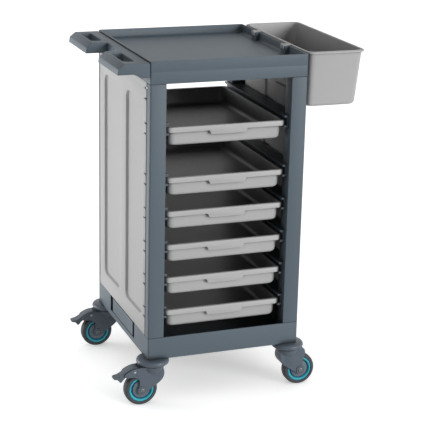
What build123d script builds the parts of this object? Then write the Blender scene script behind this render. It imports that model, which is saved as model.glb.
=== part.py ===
from build123d import *
from math import acos, atan2, cos, hypot, sin
import os

# Serving trolley: a moulded frame on four castors, with six pull-out trays on runners,
# a looped push handle on the left and a bin hooked on the right rim.
# Built about the middle of the frame: X to the right, Y to the back, Z up from the floor.
# All sizes are in millimetres.

# Frame
WIDTH = 475.0
DEPTH = 520.0
BASE_BOTTOM = 143.0
BASE_TOP = 210.0
TOP_BOTTOM = 965.0
RIM_TOP = 1030.0
FRAME_CORNER = 6.0
WALL = 5.0
HALF_W = WIDTH / 2
HALF_D = DEPTH / 2
LEFT, RIGHT, FRONT, REAR = -1, 1, -1, 1

# Base moulding
DECK_TOP = 166.0
DECK_THICK = 5.0
RIB_THICK = 4.0
RIBS_ACROSS = 4
RIBS_DEEP = 5
CLIP_SPACING = 229.0
CLIP_SLOT = 21.0
CLIP_SLOT_BOTTOM = 160.0
CLIP_DROP = 4.0
CLIP_SET_IN = 1.5

# Corner posts
POST_W = 48.0
POST_D = 46.0
POST_WALL = 3.5
POST_STRIP_FRONT = 28.0
POST_STRIP_REAR = 14.0
REBATE = 6.0
POST_GROOVE = 20.0
SPIGOT_LENGTH = 30.0
SPIGOT_PLAY = 0.2

# Side panels
PANEL_SET_IN = 0.6
PANEL_THICK = 4.4
PANEL_FRONT = 36.0
PANEL_REAR = 15.0
FIELD_FRONT = 64.0
FIELD_LENGTH = 166.0
FIELD_GAP = 58.0
FIELD_BOTTOM = 262.0
FIELD_TOP = 908.0
FIELD_DEPTH = 8.0
FIELD_SLOPE = 4.0
FIELD_SKIN = 2.6
FIELD_CORNER = 24.0
NOTCH_LENGTH = 18.0
NOTCH_HEIGHT = 5.0

# Runner heights, from the lowest pair up; the top pair of notches holds no runner
TRAY_PITCH = 100.5
LOWEST_RUNNER = 282.5
UPPER_STEP = 147.5
LOWER_TRAYS = 5
TRAY_HEIGHTS = [LOWEST_RUNNER + TRAY_PITCH * level for level in range(LOWER_TRAYS)]
TRAY_HEIGHTS.append(TRAY_HEIGHTS[-1] + UPPER_STEP)
NOTCH_HEIGHTS = TRAY_HEIGHTS + [TRAY_HEIGHTS[-1] + TRAY_PITCH]

# Runners
RUNNER_END = 15.0
RUNNER_WEB = 3.0
RAIL_WIDTH = 13.0
RAIL_THICK = 6.0
RAIL_GAP = 24.0
FLANGE_THICK = 4.0
RAIL_MID = (RAIL_GAP + RAIL_THICK) / 2
FLANGE_START = 13.0
HOOK_REACH = 1.2
HOOK_LENGTH = 7.0

# Trays
TRAY_W = 371.0
TRAY_FRONT = 17.0
TRAY_REAR = 11.0
TRAY_HEIGHT = 56.0
TRAY_WALL = 3.0
TRAY_CORNER = 22.0
BODY_CORNER = 18.0
SPACE_CORNER = 16.0
LIP_HEIGHT = 15.5
LIP_WIDTH = 9.5
TRAY_DRAFT = 2.5
TRAY_BOTTOM_ROUND = 9.0
GRIP_TOP = 116.0
GRIP_BOTTOM = 106.0
GRIP_SHIFT = 5.0
GRIP_DROP = 10.0
GRIP_BOW = 1.5
FOOT_INSET = 26.0
FOOT_HEIGHT = 2.5

# Top tray moulding
TOP_FLOOR = 1005.0
RIM_WIDTH = 6.0
TOP_CORNER = 12.0
SHADOW_LINE_Z = 998.0
SHADOW_LINE = 1.2
TOP_RIB_DEPTH = 14.0

# Push handle
HANDLE_TOP = 1026.0
HANDLE_ROOT_BOTTOM = 985.0
HANDLE_BOTTOM = 996.0
HANDLE_REACH = 94.0
STRIP_REACH = 28.0
HORN_LENGTH = 195.0
HANDLE_BEVEL_RUN = 18.0
HANDLE_BEVEL_DROP = 13.0
HANDLE_LEAN = 3.0
ROOT_RUN = 20.0
SLOPE_RUN = 28.0
GRIP_HOLE_IN = 34.0
GRIP_HOLE_OUT = 66.0
GRIP_HOLE_START = 35.0
GRIP_HOLE_LENGTH = 125.0
GRIP_HOLE_ROUND = 10.0
SEAM_GROOVE = 4.0
SCREW_Z = 1018.0
SCREW_HOLE_R = 3.0
SCREW_R = 2.0
SCREW_HEAD_R = 2.9
SCREW_HEAD = 2.5
SCREW_SUNK = 6.0

# Side bin
BIN_GAP = 1.0
BIN_RIM_W = 185.0
BIN_FRONT = 6.0
BIN_LENGTH = 500.0
BIN_BOTTOM = 870.0
BIN_RIM = 6.0
BIN_RIM_THICK = 6.0
BIN_WALL = 3.0
BIN_TAPER = 14.0
BIN_END_TAPER = 5.0
BIN_CORNER = 24.0
BIN_BOTTOM_ROUND = 10.0
HOOK_THICK = 3.0
HOOK_WIDTH = 24.0
HOOK_SEAT = 14.0
HOOK_SEAT_WIDTH = 30.0
HOOK_LEG = 12.0

# Castors; the tyre and core sections pair a radius with a distance in from the tyre's side
CASTOR_INSET = 22.0
TRAIL = 38.0
HEAD_R = 49.0
HEAD_THICK = 17.0
HEAD_EDGE = [(8, 0), (2, 3), (0, 8), (2, HEAD_THICK - 4), (7, HEAD_THICK)]
STEM_R = 10.0
STEM_LENGTH = 45.0
STEM_PLAY = 1.0
STEM_CHAMFER = 2.0
KINGPIN_R = 6.0
RACE_R = 33.0
RACE_HOLE_R = 14.0
FORK_TOP = 122.0
FORK_HALF = 22.0
FORK_GAP = 19.0
FORK_END_R = 15.0
FORK_BOSS_R = 13.5
FORK_BOSS = 2.0
FORK_FRONT = [(-24, FORK_TOP), (-31, 98), (-24, 78), (-12, 67)]
FORK_BACK = [(47, 66), (46, 76), (48, 87), (53, 100), (53, 109), (50, 117), (44, FORK_TOP)]
FORK_EDGE = 2.0
FORK_CROWN = [(0, FORK_TOP), (34, FORK_TOP), (34, 113), (23, 97), (0, 97)]
WHEEL_R = 50.0
WHEEL_SPACE_R = 54.0
TYRE_HALF = 16.0
CORE_R = 38.0
HUB_R = 27.0
TYRE_SECTION = [(CORE_R, 2), (39.5, 0), (45, 1), (48.5, 4), (WHEEL_R, 9)]
NUT_SEAT = 104.0
NUT_R = 10.0
NUT_BOTTOM = 98.0
NUT_SPACE_R = 12.0
PIN_END = 97.0
AXLE_R = 5.0
CORE_SECTION = [(HUB_R, 8), (29, 8), (31.5, 3), (33.5, 1), (36, 1), (CORE_R, 3)]
HUB_HALF = 18.5
HUB_SECTION = [(11, HUB_HALF), (12, 14), (25, 13), (HUB_R, 11)]
AXLE_HEAD_R = 7.0
AXLE_HEAD = 2.0
AXLE = (TRAIL, WHEEL_R)
RUNNING_PLAY = 0.05
REST_PLAY = 0.3

# Brake pedals, measured from the swivel axis towards the trailing side and up from the floor
PEDAL_HALF = 15.0
PEDAL_PIN = (60.0, 110.0)
PEDAL_PIN_R = 3.0
PEDAL_TIP = 123.0
PEDAL_SPACE = 44.0
PEDAL_EDGE = 1.5
PEDAL_TIP_ROUND = 9.0
SHOE_R = 55.0
SHOE_HALF = 13.0
SHOE = [(62, 104), (80, 100), (82, 90), (76, 84), (64, 92)]
CHEEK = [
    (36, 122), (58, 120), (76, 114), (87, 108), (91, 101),
    (87, 95), (78, 93), (60, 92), (52, 86), (40, 80),
]
PEDAL_TOP = [(48, 122), (66, 119), (81, 112), (96, 102), (107, 96.5), (PEDAL_TIP, 94.5)]
PEDAL_UNDER = [
    (PEDAL_TIP, 90.5), (112, 90), (108, 85), (103, 80), (99, 80.5),
    (94, 87), (82, 98), (66, 105), (48, 107),
]

# Castors by place: side, end and whether a brake is fitted
CASTORS = {
    "front_left": (LEFT, FRONT, True),
    "rear_left": (LEFT, REAR, True),
    "front_right": (RIGHT, FRONT, False),
    "rear_right": (RIGHT, REAR, False),
}

# The origin stands under the middle of the whole object: pedal tips on the left, bin on the right
LEFT_REACH = -(HALF_W - CASTOR_INSET + PEDAL_TIP)
RIGHT_REACH = HALF_W + BIN_GAP + BIN_RIM_W
MIDDLE_X = (LEFT_REACH + RIGHT_REACH) / 2


def block(x0, x1, y0, y1, z0, z1):
    """Box between two opposite corners, given in any order."""
    middle = Pos((x0 + x1) / 2, (y0 + y1) / 2, (z0 + z1) / 2)
    return middle * Box(abs(x1 - x0), abs(y1 - y0), abs(z1 - z0))


def corner_block(side, end, u0, u1, v0, v1, z0, z1):
    """Box measured inwards from the frame's side face (u) and its front or rear face (v)."""
    x0, x1 = side * (HALF_W - u0), side * (HALF_W - u1)
    y0, y1 = end * (HALF_D - v0), end * (HALF_D - v1)
    return block(x0, x1, y0, y1, z0, z1)


def rounded(x0, x1, y0, y1, radius, z):
    """Rectangle with round corners, level at height z."""
    middle = Plane.XY.offset(z) * Pos((x0 + x1) / 2, (y0 + y1) / 2)
    return middle * RectangleRounded(x1 - x0, y1 - y0, radius)


def rounded_block(x0, x1, y0, y1, radius, z0, z1):
    """Upright block with round corners."""
    return extrude(rounded(x0, x1, y0, y1, radius, z0), amount=z1 - z0)


def outline(points):
    """Face in the X-Z plane through the given points."""
    return make_face(Plane.XZ * Polyline(*points, close=True))


def across(face, y0, y1):
    """Face in the X-Z plane made solid from y0 to y1."""
    return extrude(Pos(0, y0, 0) * face, amount=y1 - y0, dir=(0, 1, 0))


def ribs(z0, z1):
    """Crossed stiffening ribs inside the frame's walls, evenly spaced both ways."""
    inner_x, inner_y = HALF_W - WALL, HALF_D - WALL
    lattice = Part()
    for number in range(1, RIBS_ACROSS + 1):
        x = -HALF_W + WIDTH * number / (RIBS_ACROSS + 1)
        lattice += block(x - RIB_THICK / 2, x + RIB_THICK / 2, -inner_y, inner_y, z0, z1)
    for number in range(1, RIBS_DEEP + 1):
        y = -HALF_D + DEPTH * number / (RIBS_DEEP + 1)
        lattice += block(-inner_x, inner_x, y - RIB_THICK / 2, y + RIB_THICK / 2, z0, z1)
    return lattice


def base_frame():
    """Shallow tray with a deck, ribbed below, with a solid block and a spigot at each corner."""
    body = rounded_block(-HALF_W, HALF_W, -HALF_D, HALF_D, FRAME_CORNER, BASE_BOTTOM, BASE_TOP)
    inner_x, inner_y = HALF_W - WALL, HALF_D - WALL
    body -= block(-inner_x, inner_x, -inner_y, inner_y, DECK_TOP, BASE_TOP)
    body -= block(-inner_x, inner_x, -inner_y, inner_y, BASE_BOTTOM, DECK_TOP - DECK_THICK)
    body += ribs(BASE_BOTTOM, DECK_TOP)
    socket_top = STEM_LENGTH + STEM_PLAY
    socket = Pos(0, 0, BASE_BOTTOM + socket_top / 2) * Cylinder(STEM_R + RUNNING_PLAY, socket_top)
    for side in (LEFT, RIGHT):
        for end in (FRONT, REAR):
            body += corner_block(side, end, WALL, POST_W, WALL, POST_D, BASE_BOTTOM, BASE_TOP)
            body += post_spigot(side, end, BASE_TOP, BASE_TOP + SPIGOT_LENGTH)
            body -= castor_place(side, end) * socket
        body -= panel_clip(side)
    return body


def panel_clip(side):
    """What is cut away beside and above the spring tongue that holds a side panel's lower edge."""
    face = side * HALF_W
    inside = side * (HALF_W - WALL)
    half = CLIP_SPACING / 2
    cut = block(face, side * (HALF_W - CLIP_SET_IN), -half, half, CLIP_SLOT_BOTTOM, BASE_TOP)
    cut += block(face, inside, -half, half, BASE_TOP - CLIP_DROP, BASE_TOP)
    for end in (FRONT, REAR):
        near, far = end * (half - CLIP_SLOT / 2), end * (half + CLIP_SLOT / 2)
        cut += block(face, inside, near, far, CLIP_SLOT_BOTTOM, BASE_TOP)
    return cut


def strip_width(end):
    """Width of a post's side strip that the panel leaves uncovered."""
    return POST_STRIP_FRONT if end == FRONT else POST_STRIP_REAR


def post_core(side, end, play, z0, z1):
    """Space inside a post's walls, less a play all round."""
    u0, u1 = REBATE + POST_WALL + play, POST_W - POST_WALL - play
    v0, v1 = POST_WALL + play, POST_D - POST_WALL - play
    return corner_block(side, end, u0, u1, v0, v1, z0, z1)


def post_spigot(side, end, z0, z1):
    """Peg on the base or the top that plugs into a post."""
    return post_core(side, end, SPIGOT_PLAY, z0, z1)


def post(side, end):
    """Hollow corner post with a rebate for the side panel's edge; a front one has a deep groove beside it."""
    body = corner_block(side, end, 0, POST_W, 0, POST_D, BASE_TOP, TOP_BOTTOM)
    corner = (side * HALF_W, end * HALF_D, (BASE_TOP + TOP_BOTTOM) / 2)
    body = fillet(body.edges().filter_by(Axis.Z).sort_by_distance(corner)[:1], FRAME_CORNER)
    body -= corner_block(side, end, 0, REBATE, strip_width(end), POST_D, BASE_TOP, TOP_BOTTOM)
    body -= post_core(side, end, 0, BASE_TOP, TOP_BOTTOM)
    if end == FRONT:
        groove_y = (POST_STRIP_FRONT, PANEL_FRONT)
        body -= corner_block(side, end, 0, POST_GROOVE, *groove_y, BASE_TOP, TOP_BOTTOM)
    return body


def panel_field(y0, y1, grow, depth):
    """Sunk field of a left panel as a tapered block, from the panel's outer face inwards."""
    face = -(HALF_W - PANEL_SET_IN)
    slope = FIELD_SLOPE * depth / FIELD_DEPTH
    mouth_z = (FIELD_BOTTOM + FIELD_TOP) / 2
    mouth = (y1 - y0 + 2 * grow, FIELD_TOP - FIELD_BOTTOM + 2 * grow)
    faces = []
    for inset, x in ((0, face), (slope, face + depth)):
        plane = Plane(origin=(x, (y0 + y1) / 2, mouth_z), x_dir=(0, 1, 0), z_dir=(1, 0, 0))
        size = (mouth[0] - 2 * inset, mouth[1] - 2 * inset)
        faces.append(plane * RectangleRounded(*size, FIELD_CORNER - inset))
    return loft(faces)


def panel(side):
    """Formed side panel: a flat sheet with two sunk fields, notched along its front edge."""
    face = -(HALF_W - PANEL_SET_IN)
    y0, y1 = -HALF_D + PANEL_FRONT, HALF_D - PANEL_REAR
    body = block(face, face + PANEL_THICK, y0, y1, BASE_TOP, TOP_BOTTOM)
    first = -HALF_D + FIELD_FRONT
    for start in (first, first + FIELD_LENGTH + FIELD_GAP):
        back = panel_field(start, start + FIELD_LENGTH, FIELD_SKIN, FIELD_DEPTH + FIELD_SKIN)
        body += back & block(face, face + 2 * FIELD_DEPTH, y0, y1, BASE_TOP, TOP_BOTTOM)
        body -= panel_field(start, start + FIELD_LENGTH, 0, FIELD_DEPTH)
    for height in NOTCH_HEIGHTS:
        for z in (height - RAIL_MID, height + RAIL_MID):
            low, high = z - NOTCH_HEIGHT / 2, z + NOTCH_HEIGHT / 2
            body -= block(face, face + PANEL_THICK, y0, y0 + NOTCH_LENGTH, low, high)
    return body if side == LEFT else mirror(body, about=Plane.YZ)


def runner(side, height):
    """Channel that a tray's lip slides in, with outer flanges that hook into the panel's notches."""
    rail_span = (RUNNER_END, DEPTH - RUNNER_END)
    flange_front = POST_D + REST_PLAY
    flange_span = (flange_front, DEPTH - flange_front)
    hook_span = (flange_front, flange_front + HOOK_LENGTH)
    low_rail, high_rail = height - RAIL_MID, height + RAIL_MID
    body = corner_block(side, FRONT, POST_W, POST_W + RUNNER_WEB, *rail_span, low_rail, high_rail)
    for z in (low_rail, high_rail):
        rail_z = (z - RAIL_THICK / 2, z + RAIL_THICK / 2)
        flange_z = (z - FLANGE_THICK / 2, z + FLANGE_THICK / 2)
        body += corner_block(side, FRONT, POST_W, POST_W + RAIL_WIDTH, *rail_span, *rail_z)
        body += corner_block(side, FRONT, FLANGE_START, POST_W, *flange_span, *flange_z)
        body += corner_block(side, FRONT, HOOK_REACH, FLANGE_START, *hook_span, *flange_z)
    return body


def tray(height):
    """Shallow drawn tray with a turned-down lip that rides in the runners and a deeper grip in front."""
    top = height - RAIL_GAP / 2 + LIP_HEIGHT
    bottom = top - TRAY_HEIGHT
    half = TRAY_W / 2
    y0, y1 = -HALF_D + TRAY_FRONT, HALF_D - TRAY_REAR

    def level(inset, radius, z):
        return rounded(-half + inset, half - inset, y0 + inset, y1 - inset, radius, z)

    lip = extrude(level(0, TRAY_CORNER, top), amount=-LIP_HEIGHT)
    lip -= extrude(level(TRAY_WALL, TRAY_CORNER - TRAY_WALL, top - TRAY_WALL), amount=-LIP_HEIGHT)
    low_inset = LIP_WIDTH + TRAY_DRAFT
    outer = loft([level(low_inset, BODY_CORNER, bottom), level(LIP_WIDTH, BODY_CORNER, top)])
    outer = fillet(outer.faces().sort_by(Axis.Z)[0].edges(), TRAY_BOTTOM_ROUND)
    space = loft([
        level(low_inset + TRAY_WALL, SPACE_CORNER, bottom + TRAY_WALL),
        level(LIP_WIDTH + TRAY_WALL, SPACE_CORNER, top),
    ])
    space = fillet(space.faces().sort_by(Axis.Z)[0].edges(), TRAY_BOTTOM_ROUND + TRAY_WALL)
    foot = extrude(level(low_inset + FOOT_INSET, TRAY_CORNER, bottom), amount=-FOOT_HEIGHT)
    return lip + outer + foot + tray_grip(top - LIP_HEIGHT, y0) - space


def tray_grip(z, y0):
    """Deeper middle of a tray's front lip, a little right of centre, with a bowed lower edge."""
    low = z - GRIP_DROP
    upper = z + LIP_HEIGHT / 2
    x0, x1 = GRIP_SHIFT - GRIP_TOP / 2, GRIP_SHIFT + GRIP_TOP / 2
    left, right = (GRIP_SHIFT - GRIP_BOTTOM / 2, low), (GRIP_SHIFT + GRIP_BOTTOM / 2, low)
    edge = [
        Polyline(left, (x0, z), (x0, upper), (x1, upper), (x1, z), right),
        ThreePointArc(right, (GRIP_SHIFT, low - GRIP_BOW), left),
    ]
    return across(make_face([Plane.XZ * part for part in edge]), y0, y0 + TRAY_WALL)


def top_tray():
    """Top moulding: a sunk floor inside a raised rim, ribbed below, with spigots for the posts."""
    body = rounded_block(-HALF_W, HALF_W, -HALF_D, HALF_D, FRAME_CORNER, TOP_BOTTOM, RIM_TOP)
    rim_x, rim_y = HALF_W - RIM_WIDTH, HALF_D - RIM_WIDTH
    body -= rounded_block(-rim_x, rim_x, -rim_y, rim_y, TOP_CORNER, TOP_FLOOR, RIM_TOP)
    inner_x, inner_y = HALF_W - WALL, HALF_D - WALL
    floor_under = TOP_FLOOR - WALL
    body -= block(-inner_x, inner_x, -inner_y, inner_y, TOP_BOTTOM, floor_under)
    body += ribs(floor_under - TOP_RIB_DEPTH, floor_under)
    for side in (LEFT, RIGHT):
        for end in (FRONT, REAR):
            body += corner_block(side, end, WALL, POST_W, WALL, POST_D, TOP_BOTTOM, floor_under)
            body += post_spigot(side, end, TOP_BOTTOM - SPIGOT_LENGTH, TOP_BOTTOM)
    for end in (FRONT, REAR):
        line_z = (SHADOW_LINE_Z, SHADOW_LINE_Z + SHADOW_LINE)
        body -= corner_block(LEFT, end, 0, WIDTH, 0, SHADOW_LINE, *line_z)
        seat_y = end * CLIP_SPACING / 2
        seat_x = (HALF_W - RIM_WIDTH - HOOK_SEAT, HALF_W - RIM_WIDTH)
        half = HOOK_SEAT_WIDTH / 2
        body += block(*seat_x, seat_y - half, seat_y + half, TOP_FLOOR, RIM_TOP)
    for y in screw_places():
        body -= screw_hole(y, SCREW_R, -HALF_W, -HALF_W + WALL + RIM_WIDTH)
    return body


def screw_places():
    """Where the handle's screws sit along the top: in the middle and inside each loop."""
    loop_y = HALF_D - GRIP_HOLE_START - GRIP_HOLE_LENGTH / 2
    return (-loop_y, 0, loop_y)


def screw_hole(y, radius, x0, x1):
    """Level round hole from x0 to x1 at a screw's place."""
    return Pos((x0 + x1) / 2, y, SCREW_Z) * Rot(0, 90, 0) * Cylinder(radius, x1 - x0)


def handle():
    """Push handle: a strip along the top's left side with a loop for the fingers at each end."""
    root = -HALF_W
    outer = root - HANDLE_REACH
    strip_face = root - STRIP_REACH
    lip_x = outer + HANDLE_LEAN
    horn = outline([
        (root, HANDLE_ROOT_BOTTOM),
        (root - ROOT_RUN, HANDLE_ROOT_BOTTOM),
        (root - ROOT_RUN - SLOPE_RUN, HANDLE_BOTTOM),
        (outer, HANDLE_BOTTOM),
        (lip_x, HANDLE_TOP - HANDLE_BEVEL_DROP),
        (lip_x + HANDLE_BEVEL_RUN, HANDLE_TOP),
        (root, HANDLE_TOP),
    ])
    body = block(strip_face, root, -HALF_D, HALF_D, HANDLE_ROOT_BOTTOM, HANDLE_TOP)
    for end in (FRONT, REAR):
        near, far = sorted((end * HALF_D, end * (HALF_D - HORN_LENGTH)))
        body += across(horn, near, far)
    for end in (FRONT, REAR):
        start = HALF_D - GRIP_HOLE_START
        hole_y = sorted((end * start, end * (start - GRIP_HOLE_LENGTH)))
        hole_x = (root - GRIP_HOLE_OUT, root - GRIP_HOLE_IN)
        body -= rounded_block(*hole_x, *hole_y, GRIP_HOLE_ROUND, HANDLE_ROOT_BOTTOM, HANDLE_TOP)
    body -= block(root - SEAM_GROOVE, root, -HALF_D, HALF_D, HANDLE_TOP - SEAM_GROOVE, HANDLE_TOP)
    for y in screw_places():
        face = strip_face if y == 0 else root - GRIP_HOLE_IN
        body -= screw_hole(y, SCREW_HOLE_R, face, face + SCREW_SUNK)
        body -= screw_hole(y, SCREW_R + RUNNING_PLAY, face, root)
    return body


def handle_screws():
    """Three pan-head screws that hold the handle to the top."""
    screws = []
    for y in screw_places():
        seat = -HALF_W - (STRIP_REACH if y == 0 else GRIP_HOLE_IN) + SCREW_SUNK
        shank = screw_hole(y, SCREW_R, seat, -HALF_W + WALL)
        screws.append(shank + screw_hole(y, SCREW_HEAD_R, seat - SCREW_HEAD, seat))
    return Compound(screws)


def side_bin():
    """Tapered bin with a flanged rim, a straight wall towards the frame and two hooks over its rim."""
    x0 = HALF_W + BIN_GAP
    x1 = x0 + BIN_RIM_W
    y0 = -HALF_D + BIN_FRONT
    y1 = y0 + BIN_LENGTH
    rim_top = RIM_TOP + HOOK_THICK
    rim_low = rim_top - BIN_RIM_THICK

    def level(inset, taper, end_taper, radius, z):
        ends = inset + end_taper
        return rounded(x0 + inset, x1 - inset - taper, y0 + ends, y1 - ends, radius, z)

    rim = extrude(level(0, 0, 0, BIN_CORNER, rim_low), amount=BIN_RIM_THICK)
    outer = loft([
        level(BIN_RIM, BIN_TAPER, BIN_END_TAPER, BIN_CORNER - BIN_RIM, BIN_BOTTOM),
        level(BIN_RIM, 0, 0, BIN_CORNER - BIN_RIM, rim_top),
    ])
    outer = fillet(outer.faces().sort_by(Axis.Z)[0].edges(), BIN_BOTTOM_ROUND)
    thick = BIN_RIM + BIN_WALL
    space = loft([
        level(thick, BIN_TAPER, BIN_END_TAPER, BIN_CORNER - thick, BIN_BOTTOM + BIN_WALL),
        level(thick, 0, 0, BIN_CORNER - thick, rim_top),
    ])
    space = fillet(space.faces().sort_by(Axis.Z)[0].edges(), BIN_BOTTOM_ROUND)
    body = rim + outer
    hook_x = HALF_W - RIM_WIDTH - HOOK_SEAT - REST_PLAY
    for end in (FRONT, REAR):
        hook_y = end * CLIP_SPACING / 2
        hook = (hook_y - HOOK_WIDTH / 2, hook_y + HOOK_WIDTH / 2)
        body += block(hook_x - HOOK_THICK, x0 + BIN_RIM, *hook, RIM_TOP, rim_top)
        body += block(hook_x - HOOK_THICK, hook_x, *hook, rim_top - HOOK_LEG, rim_top)
    return body - space


def castor_place(side, end):
    """Swivel axis of a castor, with the trailing side turned outwards along local X."""
    place = Pos(side * (HALF_W - CASTOR_INSET), end * (HALF_D - CASTOR_INSET))
    return place * Rot(0, 0, 180) if side == LEFT else place


def turned(points, axis=Axis.Z):
    """Solid of revolution from points given as radius and height."""
    return revolve(outline(points), axis=axis)


def castor_head():
    """Domed disc with a stem up into the base and a kingpin down through the fork."""
    low, high = BASE_BOTTOM - HEAD_THICK, BASE_BOTTOM
    stem_top = high + STEM_LENGTH
    disc = [(HEAD_R - inset, low + rise) for inset, rise in HEAD_EDGE]
    pin = [(0, PIN_END), (KINGPIN_R, PIN_END), (KINGPIN_R, low)]
    stem = [(STEM_R, high), (STEM_R, stem_top - STEM_CHAMFER)]
    stem += [(STEM_R - STEM_CHAMFER, stem_top), (0, stem_top)]
    return turned(pin + disc + stem)


def swivel_race():
    """Bearing ring between the head and the fork."""
    low = FORK_TOP + REST_PLAY
    high = BASE_BOTTOM - HEAD_THICK
    return turned([(RACE_HOLE_R, low), (RACE_R, low), (RACE_R, high), (RACE_HOLE_R, high)])


def kingpin_nut():
    """Nut that holds the fork up on the kingpin."""
    high = NUT_SEAT - REST_PLAY
    return turned([(KINGPIN_R, NUT_BOTTOM), (NUT_R, NUT_BOTTOM), (NUT_R, high), (KINGPIN_R, high)])


def crosswise(place, radius, length):
    """Round bar across a castor, its middle at the given trail and height."""
    return Pos(place[0], 0, place[1]) * Rot(90, 0, 0) * Cylinder(radius, length)


def castor_fork(braked):
    """Moulded fork: a bulging front, two slim legs under a round crown, hollow over the wheel."""
    shoulder = Spline(*FORK_FRONT)
    lower = Line(FORK_FRONT[-1], tangent_point(FORK_FRONT[-1]))
    back = Polyline(lower @ 1, AXLE, *FORK_BACK, FORK_FRONT[0])
    side = Plane.XZ * make_face(shoulder.edges() + lower.edges() + back.edges())
    body = across(side, -FORK_HALF, FORK_HALF) + crosswise(AXLE, FORK_END_R, 2 * FORK_HALF)
    if braked:
        body += across(outline(CHEEK), -FORK_HALF, FORK_HALF)
    rims = body.faces().filter_by(Axis.Y).edges()
    body = chamfer(rims, FORK_EDGE)
    body += turned(FORK_CROWN)
    body += crosswise(AXLE, FORK_BOSS_R, 2 * (FORK_HALF + FORK_BOSS))
    through = 4 * FORK_HALF
    if braked:
        body -= block(PEDAL_SPACE, PEDAL_TIP, -FORK_GAP, FORK_GAP, 0, FORK_TOP)
        body -= crosswise(PEDAL_PIN, PEDAL_PIN_R, through)
    body -= crosswise(AXLE, WHEEL_SPACE_R, 2 * FORK_GAP)
    body -= block(TRAIL - WHEEL_SPACE_R, TRAIL + WHEEL_SPACE_R, -FORK_GAP, FORK_GAP, 0, WHEEL_R)
    body -= crosswise(AXLE, AXLE_R, through)
    body -= Pos(0, 0, FORK_TOP / 2) * Cylinder(KINGPIN_R + RUNNING_PLAY, FORK_TOP)
    body -= Pos(0, 0, NUT_SEAT / 2) * Cylinder(NUT_SPACE_R, NUT_SEAT)
    return body


def tangent_point(start):
    """Where a line from a point in front of the wheel touches the leg's round end from below."""
    run, rise = start[0] - AXLE[0], start[1] - AXLE[1]
    turn = atan2(rise, run) + acos(FORK_END_R / hypot(run, rise))
    return AXLE[0] + FORK_END_R * cos(turn), AXLE[1] + FORK_END_R * sin(turn)


def wheel_turned(points):
    """Solid turned about the axle from points given as radius and distance along the axle."""
    face = make_face(Plane.XY * Polyline(*points, close=True))
    return Pos(AXLE[0], 0, AXLE[1]) * revolve(face, axis=Axis.Y)


def mirrored(points):
    """Half section closed by its mirror image across the wheel's middle plane."""
    return points + [(radius, -y) for radius, y in reversed(points)]


def tyre():
    """Tread with round shoulders, seated on the core."""
    return wheel_turned(mirrored([(radius, TYRE_HALF - inset) for radius, inset in TYRE_SECTION]))


def wheel_core():
    """Coloured ring between the hub and the tyre, raised round its rim."""
    return wheel_turned(mirrored([(radius, TYRE_HALF - inset) for radius, inset in CORE_SECTION]))


def wheel_hub():
    """Hub with flat covers that turns on the axle."""
    return wheel_turned(mirrored([(AXLE_R + RUNNING_PLAY, HUB_HALF)] + HUB_SECTION))


def axle_bolt():
    """Axle with a domed head outside one cheek and a nut outside the other."""
    seat = FORK_HALF + FORK_BOSS
    body = crosswise(AXLE, AXLE_R, 2 * (seat + AXLE_HEAD))
    cap = crosswise(AXLE, AXLE_HEAD_R, AXLE_HEAD)
    for end in (FRONT, REAR):
        body += Pos(0, end * (seat + AXLE_HEAD / 2), 0) * cap
    return body


def brake_pedal():
    """Arched lever with a lug under its tip, which presses a shoe towards the tyre."""
    body = across(outline(PEDAL_TOP + PEDAL_UNDER), -PEDAL_HALF, PEDAL_HALF)
    corners = body.edges().filter_by(Axis.Z).sort_by(Axis.X)[-2:]
    body = fillet(corners, PEDAL_TIP_ROUND)
    body = chamfer(body.faces().filter_by(Axis.Y).edges(), PEDAL_EDGE)
    shoe = across(outline(SHOE), -SHOE_HALF, SHOE_HALF)
    body += shoe - crosswise(AXLE, SHOE_R, 2 * PEDAL_HALF)
    return body - crosswise(PEDAL_PIN, PEDAL_PIN_R + RUNNING_PLAY, 2 * PEDAL_HALF)


def brake_pin():
    """Pin through both cheeks that the pedal turns on."""
    return crosswise(PEDAL_PIN, PEDAL_PIN_R, 2 * FORK_HALF)


def all_parts():
    """Every node's name and solid, in place."""
    sides = {"left": LEFT, "right": RIGHT}
    ends = {"front": FRONT, "rear": REAR}
    parts = {
        "base_frame": base_frame(),
        "top_tray": top_tray(),
        "handle": handle(),
        "handle_screws": handle_screws(),
        "side_bin": side_bin(),
    }
    for side_name, side in sides.items():
        parts[f"{side_name}_panel"] = panel(side)
        for end_name, end in ends.items():
            parts[f"{end_name}_{side_name}_post"] = post(side, end)
        for number, height in enumerate(reversed(TRAY_HEIGHTS), 1):
            parts[f"{side_name}_runner_{number}"] = runner(side, height)
    for number, height in enumerate(reversed(TRAY_HEIGHTS), 1):
        parts[f"tray_{number}"] = tray(height)
    races, nuts = [], []
    for name, (side, end, braked) in CASTORS.items():
        place = castor_place(side, end)
        parts[f"castor_head_{name}"] = place * castor_head()
        parts[f"castor_fork_{name}"] = place * castor_fork(braked)
        parts[f"tyre_{name}"] = place * tyre()
        parts[f"wheel_core_{name}"] = place * wheel_core()
        parts[f"wheel_hub_{name}"] = place * wheel_hub()
        parts[f"axle_bolt_{name}"] = place * axle_bolt()
        races.append(place * swivel_race())
        nuts.append(place * kingpin_nut())
        if braked:
            parts[f"brake_pedal_{name}"] = place * brake_pedal()
            parts[f"brake_pin_{name}"] = place * brake_pin()
    parts["swivel_races"] = Compound(races)
    parts["kingpin_nuts"] = Compound(nuts)
    return parts


os.makedirs("parts", exist_ok=True)
for node, shape in all_parts().items():
    solids = [Pos(-MIDDLE_X, 0, 0) * solid for solid in shape.solids()]
    export_step(Compound(solids) if len(solids) > 1 else solids[0], f"parts/{node}.step")
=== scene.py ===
import math
from contextlib import contextmanager

import bmesh
import bpy
from mathutils import Matrix, Vector


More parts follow.
